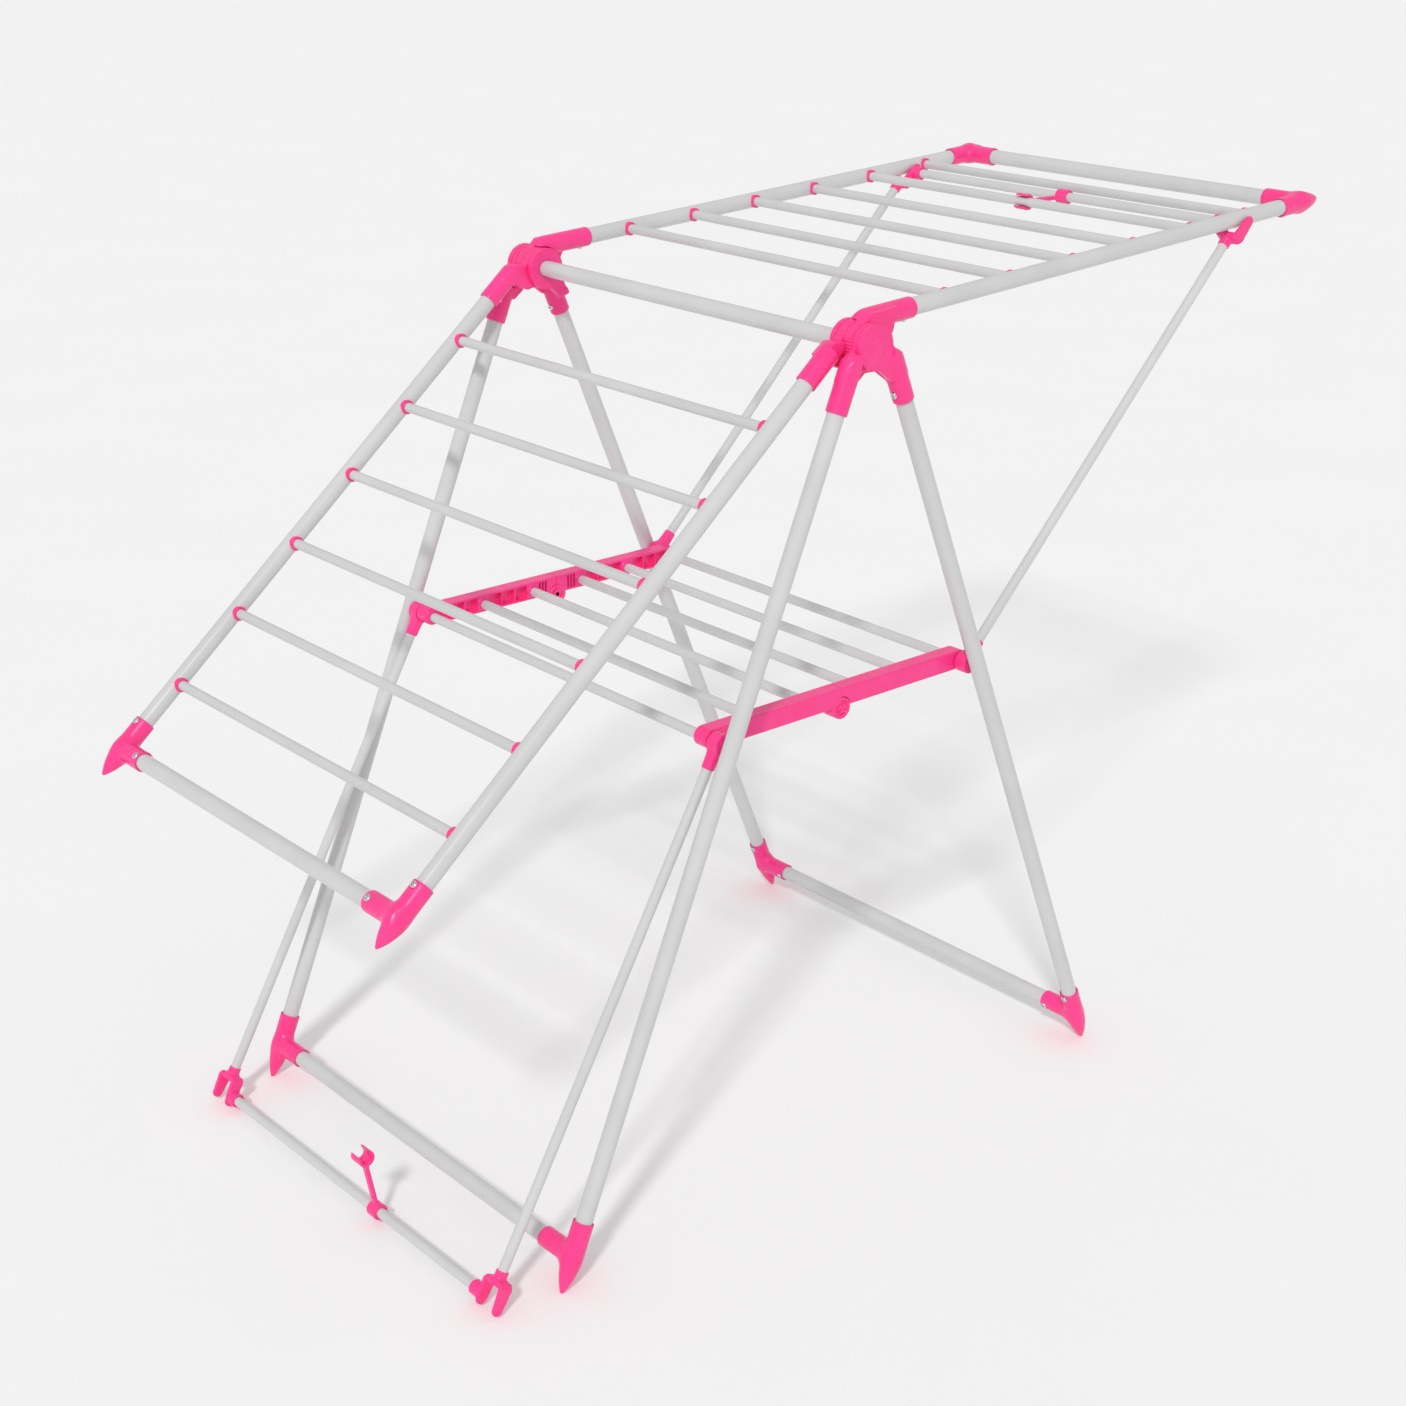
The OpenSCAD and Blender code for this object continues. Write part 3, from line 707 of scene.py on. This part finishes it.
def rail(lap, free):
    """Half of a rail: a channel open to the inside, with ribs and rung bosses."""
    def field(p):
        x, y, z = p.T
        body = np.minimum(flat_box(x, z, (-20, RAIL_LOW), (SHELF_HALF, RAIL_HIGH)),
                          np.hypot(x - SHELF_HALF, z - RAIL_LIFT) - RAIL_H / 2)
        d = rounded(body, slab(y, RAIL_IN, RAIL_OUT), 1.1)
        stops = SHELF_RUNGS + [BOSS_R - RUNG_R]
        for i in range(3):
            lo, hi = stops[i + 1] + RUNG_CLEAR, stops[i] - RUNG_CLEAR
            pitch = (hi - lo + RIB_T) / BAYS
            for k in range(BAYS):
                start, stop = lo + k * pitch, lo + (k + 1) * pitch - RIB_T
                pocket = block(p, (start, RAIL_IN - PAST, RAIL_LOW + RAIL_SKIN),
                               (stop, RAIL_FLOOR, RAIL_HIGH - RAIL_SKIN), 0.8)
                d = smax(d, -pocket, 0.5)
        for at in SHELF_RUNGS:
            d = smin(d, rod(p, 1, (at, 0), RUNG_R + 2.6, RAIL_IN - 1.6, RAIL_IN + 4, 0.7), 0.8)
            d = smax(d, -rod(p, 1, (at, 0), RUNG_R + 0.05, RAIL_IN - 4, RAIL_IN + 6, 0.1), 0.3)
        rho = np.hypot(x, z + MID_DROP)
        cut = rounded(rho - BOSS_R - BOSS_GAP, slab(y, *free), 0.1)
        d = smax(d, -cut, 0.3)
        d = np.maximum(d, BUTT - x)
        boss = rod(p, 1, (0, -MID_DROP), BOSS_R, lap[0], lap[1], 0.7)
        face, out = (lap[1], 1) if lap[1] == RAIL_OUT else (lap[0], -1)
        ring = rounded(slab(rho, *BOSS_RING),
                       slab(y, *sorted((face - out, face + out * 0.9))), 0.35)
        dip = rounded(slab(rho, *BOSS_DIP),
                      slab(y, *sorted((face - out * 1.4, face + out * PAST))), 0.3)
        boss = smax(smin(boss, ring, 0.4), -dip, 0.3)
        return np.minimum(d, boss)
    return field


RAIL_BOX = ((-BOSS_R, RAIL_IN - 2, -MID_DROP - BOSS_R),
            (SHELF_HALF + RAIL_H / 2, RAIL_OUT + 1, RAIL_HIGH))
IN_LAP, OUT_LAP = RAIL_MID - 0.2, RAIL_MID + 0.2
RAILS = {
    "right": trace(rail((RAIL_IN, IN_LAP), (IN_LAP, RAIL_OUT + PAST)), *RAIL_BOX, 1.0),
    "left": trace(rail((OUT_LAP, RAIL_OUT), (RAIL_IN - PAST, OUT_LAP)), *RAIL_BOX, 1.0),
}
for s, side in SIDES.items():
    for e, end in ENDS.items():
        put(f"shelf_rail_{s}_{e}_moulding", RAILS[s], on_shelf(side, end), f"shelf_{s}",
            PINK, PINK_SLOT, [f"shelf_rail_{s}_{e}"])

RIVET_R, RIVET_PIN_R, RIVET_FINGERS = 5.0, 2.9, 3


def rivet_field(p):
    """Snap rivet: a capped pin split into three fingers."""
    x, y, z = p.T
    cap = rod(p, 1, (0, -MID_DROP), RIVET_R, RAIL_OUT - 2, RAIL_OUT + 1.2, 0.5)
    pin = rod(p, 1, (0, -MID_DROP), RIVET_PIN_R, RAIL_IN, RAIL_OUT, 0.3)
    d = np.minimum(cap, pin)
    for k in range(RIVET_FINGERS):
        a = math.radians(90 + 360 / RIVET_FINGERS * k)
        u = x * math.cos(a) + (z + MID_DROP) * math.sin(a)
        v = -x * math.sin(a) + (z + MID_DROP) * math.cos(a)
        cut = np.maximum(flat_box(u, v, (1.2, -0.7), (9, 0.7)), RAIL_OUT - 0.5 - y)
        d = smax(d, -cut, 0.3)
    return d


RIVET = trace(rivet_field, (-RIVET_R, RAIL_IN, -MID_DROP - RIVET_R),
              (RIVET_R, RAIL_OUT + 1.3, -MID_DROP + RIVET_R), 0.45)
for e, end in ENDS.items():
    put(f"shelf_rivet_{e}", RIVET, on_shelf(RIGHT, end), "shelf_left", PINK, PINK_SLOT,
        ["shelf_rivets"])


# ---- Supports ----

EYE_R, EYE_Y = 10, (231.4, 245)
EYE_NECK, EYE_NECK_R = 26, (7.0, 6.1)
FORK_MOUTH, FORK_BASE, FORK_TIP = 518, 532, 552
FORK_SOCKET_R = (6.1, 6.5)
YOKE_FROM, YOKE_FULL, YOKE_HALF = 526, 531, 10.5
FORK_SLOT, FORK_FLARE = 2 * TUBE_R + 2, 1.6
FORK_W, PRONG_T = 14, 4.6
CROSSBAR_BOSS_R, CROSSBAR_BOSS_IN, CROSSBAR_BORE_TO = 7.4, 211, 218
FORK_IN = WING_Y - FORK_SLOT / 2 - PRONG_T
FORK_OUT = WING_Y + FORK_SLOT / 2 + PRONG_T


def eye_field(p):
    """Eye on the shelf bolt, with a neck that holds the rod."""
    x = p[:, 0]
    d = rod(p, 1, (0, 0), EYE_R, EYE_Y[0], EYE_Y[1], 1.2)
    neck_r = np.interp(x, (6, EYE_NECK), EYE_NECK_R)
    neck = rounded(np.hypot(p[:, 1] - WING_Y, p[:, 2]) - neck_r, slab(x, 0, EYE_NECK), 0.8)
    d = smin(d, neck, 4)
    return np.maximum(d, slab(p[:, 1], *EYE_Y))


def meeting_point():
    """Distance along the raised support to the axis of the raised wing."""
    rise = math.radians(support_angle(RIGHT))
    up = math.radians(WING_UP)
    height = HUB[1] + WING_OFFSET * math.cos(up) - SHELF_RIGHT[1]
    back = SHELF_HALF + WING_OFFSET * math.sin(up)
    return (height + back * math.tan(up)) / (math.sin(rise) - math.cos(rise) * math.tan(up))


def fork_field(rise):
    """Fork that straddles a wing's side tube, which crosses it at the given angle."""
    a = math.radians(rise)
    meet = meeting_point()

    def field(p):
        x, y, z = p.T
        across = np.abs(y - WING_Y)
        socket_r = np.interp(x, (FORK_MOUTH, FORK_BASE), FORK_SOCKET_R)
        socket = rounded(np.hypot(y - WING_Y, z) - socket_r, slab(x, FORK_MOUTH, FORK_BASE), 0.8)
        half = np.interp(x, (YOKE_FROM, YOKE_FULL), (YOKE_HALF, (FORK_OUT - FORK_IN) / 2))
        width = np.interp(x, (FORK_BASE, FORK_TIP + 6), (FORK_W / 2, 5.0))
        tip = np.hypot(np.maximum(x - FORK_TIP, 0), z) - width
        yoke = rounded(np.maximum(across - half, tip), YOKE_FROM - x, 1.4)
        slot_half = np.interp(x, (FORK_BASE, FORK_TIP + 7),
                              (FORK_SLOT / 2, FORK_SLOT / 2 + FORK_FLARE))
        slot_cut = np.maximum(across - slot_half, FORK_BASE - x)
        d = smax(smin(socket, yoke, 3), -slot_cut, 1.0)
        u = (x - meet) * math.cos(a) + z * math.sin(a)
        v = -(x - meet) * math.sin(a) + z * math.cos(a)
        saddle = np.hypot(y - WING_Y, v) - FORK_SLOT / 2
        d = smax(d, -np.maximum(saddle, np.abs(u) - 60), 0.8)
        at = (SUPPORT_LEN, 0)
        d = smin(d, rod(p, 1, at, CROSSBAR_BOSS_R, CROSSBAR_BOSS_IN, FORK_IN + 2, 1.0), 2.5)
        return smax(d, -rod(p, 1, at, RUNG_R + 0.15, 200, CROSSBAR_BORE_TO, 0.1), 0.4)
    return field


EYE = trace(eye_field, (-EYE_R, EYE_Y[0], -EYE_R), (EYE_NECK, EYE_Y[1] + 1, EYE_R), 0.8)
FORK = trace(fork_field(WING_UP - support_angle(RIGHT)), (FORK_MOUTH, 206, -10),
             (FORK_TIP + 7, FORK_OUT, 10), 0.8)
for s, side in SIDES.items():
    for e, end in ENDS.items():
        put(f"support_eye_{s}_{e}", EYE, on_support(side, end), f"support_{s}", PINK, PINK_SLOT,
            [f"support_eyes_{s}"])
        put(f"fork_{s}_{e}_moulding", FORK, on_support(side, end), f"support_{s}",
            PINK, PINK_SLOT, [f"fork_{s}_{e}"])


# ---- Clips ----

CLIP_SLEEVE_R, CLIP_SLEEVE_HALF = 8, 7
CLIP_HOOK_R, CLIP_HOOK_HALF = 8.6, 8
CLIP_ARM_HALF_T = 2.1
CLIP_RUNG = 4  # index of the rung a clip hooks
CLIP_BORE = RUNG_R + 0.6
CLIP_MOUTH = math.radians(12)
CLIP_SWING = max(joints["clip_left_turn"]["range_deg"])


def clip_geometry():
    """Length of a clip's arm and its slope from the crossbar to the rung it hooks."""
    up = math.radians(WING_UP)
    at = RUNG_FIRST + CLIP_RUNG * RUNG_PITCH
    rung = HUB + np.array([at * math.cos(up) - WING_OFFSET * math.sin(up),
                           at * math.sin(up) + WING_OFFSET * math.cos(up)])
    bar = pivot("clip_right_turn")
    d = rung - bar
    return float(np.hypot(*d)), math.degrees(math.atan2(d[1], -d[0]))


CLIP_LEN, CLIP_RISE = clip_geometry()


def clip_field(p):
    """Sleeve on the crossbar, a waisted arm and a hook with a sloped mouth."""
    x, y, z = p.T
    sleeve = rod(p, 1, (0, 0), CLIP_SLEEVE_R, -CLIP_SLEEVE_HALF, CLIP_SLEEVE_HALF, 0.8)
    wide = np.interp(x, (6, 16, CLIP_LEN - 16, CLIP_LEN - 7), (5, 2.6, 2.6, 6))
    arm = rounded(np.maximum(np.abs(y) - wide, np.abs(z) - CLIP_ARM_HALF_T),
                  slab(x, 0, CLIP_LEN - 4), 0.7)
    hook = rod(p, 1, (CLIP_LEN, 0), CLIP_HOOK_R, -CLIP_HOOK_HALF, CLIP_HOOK_HALF, 0.9)
    d = smin(smin(sleeve, arm, 2), hook, 2)
    d = smax(d, -rod(p, 1, (0, 0), RUNG_R + 0.05, -12, 12, 0.1), 0.3)
    d = smax(d, -rod(p, 1, (CLIP_LEN, 0), CLIP_BORE, -12, 12, 0.1), 0.5)
    u = (x - CLIP_LEN) * math.cos(CLIP_MOUTH) - z * math.sin(CLIP_MOUTH)
    v = (x - CLIP_LEN) * math.sin(CLIP_MOUTH) + z * math.cos(CLIP_MOUTH)
    return smax(d, -flat_box(u, v, (0, -CLIP_BORE + 0.3), (20, CLIP_BORE - 0.3)), 0.7)


CLIP = trace(clip_field, (-8, -9, -9), (CLIP_LEN + 9, 9, 9), 0.7)
for s, side in SIDES.items():
    turn = 0 if side == RIGHT else CLIP_SWING
    angle = support_angle(side) - (180 + support_angle(RIGHT) - turn + CLIP_RISE)
    y = middle(f"clip_{s}")[1]
    put(f"clip_{s}_moulding", shifted(CLIP, (0, y, 0)),
        Place(side, FAR, pivot(f"clip_{s}_turn"), angle), f"clip_{s}", PINK, PINK_SLOT,
        [f"clip_{s}"])


# ---- Floor, light and camera ----

def stage_floor():
    size = 30
    mesh = bpy.data.meshes.new("floor")
    mesh.from_pydata([(-size, -size, 0), (size, -size, 0), (size, size, 0), (-size, size, 0)],
                     [], [(0, 1, 2, 3)])
    floor = bpy.data.objects.new("floor", mesh)
    bpy.context.scene.collection.objects.link(floor)
    floor.location.z = -0.0005
    material, nodes, links, shader = new_material("pale floor")
    tone = mapped(nodes, links, noise(nodes, links, 3, 2), 0.3, 0.7)
    links.new(mixed(nodes, links, tone, (0.955, 0.955, 0.955), (0.965, 0.965, 0.965)),
              shader.inputs["Base Color"])
    shader.inputs["Roughness"].default_value = 0.9
    shader.inputs["Specular IOR Level"].default_value = 0.1
    floor.data.materials.append(material)


def sun(name, azimuth, elevation, strength, width):
    """Soft distant light that comes from the given azimuth and elevation."""
    data = bpy.data.lights.new(name, "SUN")
    data.energy = strength
    data.angle = math.radians(width)
    light = bpy.data.objects.new(name, data)
    bpy.context.scene.collection.objects.link(light)
    a, e = math.radians(azimuth), math.radians(elevation)
    towards = Vector((math.sin(a) * math.cos(e), -math.cos(a) * math.cos(e), math.sin(e)))
    light.rotation_euler = towards.to_track_quat("Z", "Y").to_euler()


def studio():
    world = bpy.data.worlds.new("studio")
    bpy.context.scene.world = world
    world.use_nodes = True
    background = world.node_tree.nodes["Background"]
    background.inputs["Color"].default_value = (1, 1, 1, 1)
    background.inputs["Strength"].default_value = 0.66
    sun("key", -52, 40, 1.35, 6)
    view = bpy.context.scene.view_settings
    view.view_transform = "Standard"
    view.look = "None"
    view.exposure = 0.0
    view.gamma = 1.0


CAMERA_FROM_HUB = np.array([-1433.22, -1673.99, 447.77])
CAMERA_AZIMUTH, CAMERA_ELEVATION, CAMERA_ROLL = -41.0615, 21.411, 0.307
LENS, SENSOR = 58.6823, 36


def camera():
    a, e, r = (math.radians(v) for v in (CAMERA_AZIMUTH, CAMERA_ELEVATION, CAMERA_ROLL))
    back = Vector((math.sin(a) * math.cos(e), -math.cos(a) * math.cos(e), math.sin(e)))
    right = Vector((math.cos(a), math.sin(a), 0))
    up = back.cross(right)
    rolled_right = math.cos(r) * right + math.sin(r) * up
    rolled_up = -math.sin(r) * right + math.cos(r) * up
    data = bpy.data.cameras.new("camera")
    data.sensor_width = SENSOR
    data.lens = LENS
    data.clip_end = 100
    cam = bpy.data.objects.new("camera", data)
    bpy.context.scene.collection.objects.link(cam)
    place = np.array([HUB[0], 0, HUB[1]]) + CAMERA_FROM_HUB
    matrix = Matrix((rolled_right, rolled_up, back)).transposed().to_4x4()
    matrix.translation = Vector(place * MM)
    cam.matrix_world = matrix
    bpy.context.scene.camera = cam


stage_floor()
studio()
camera()
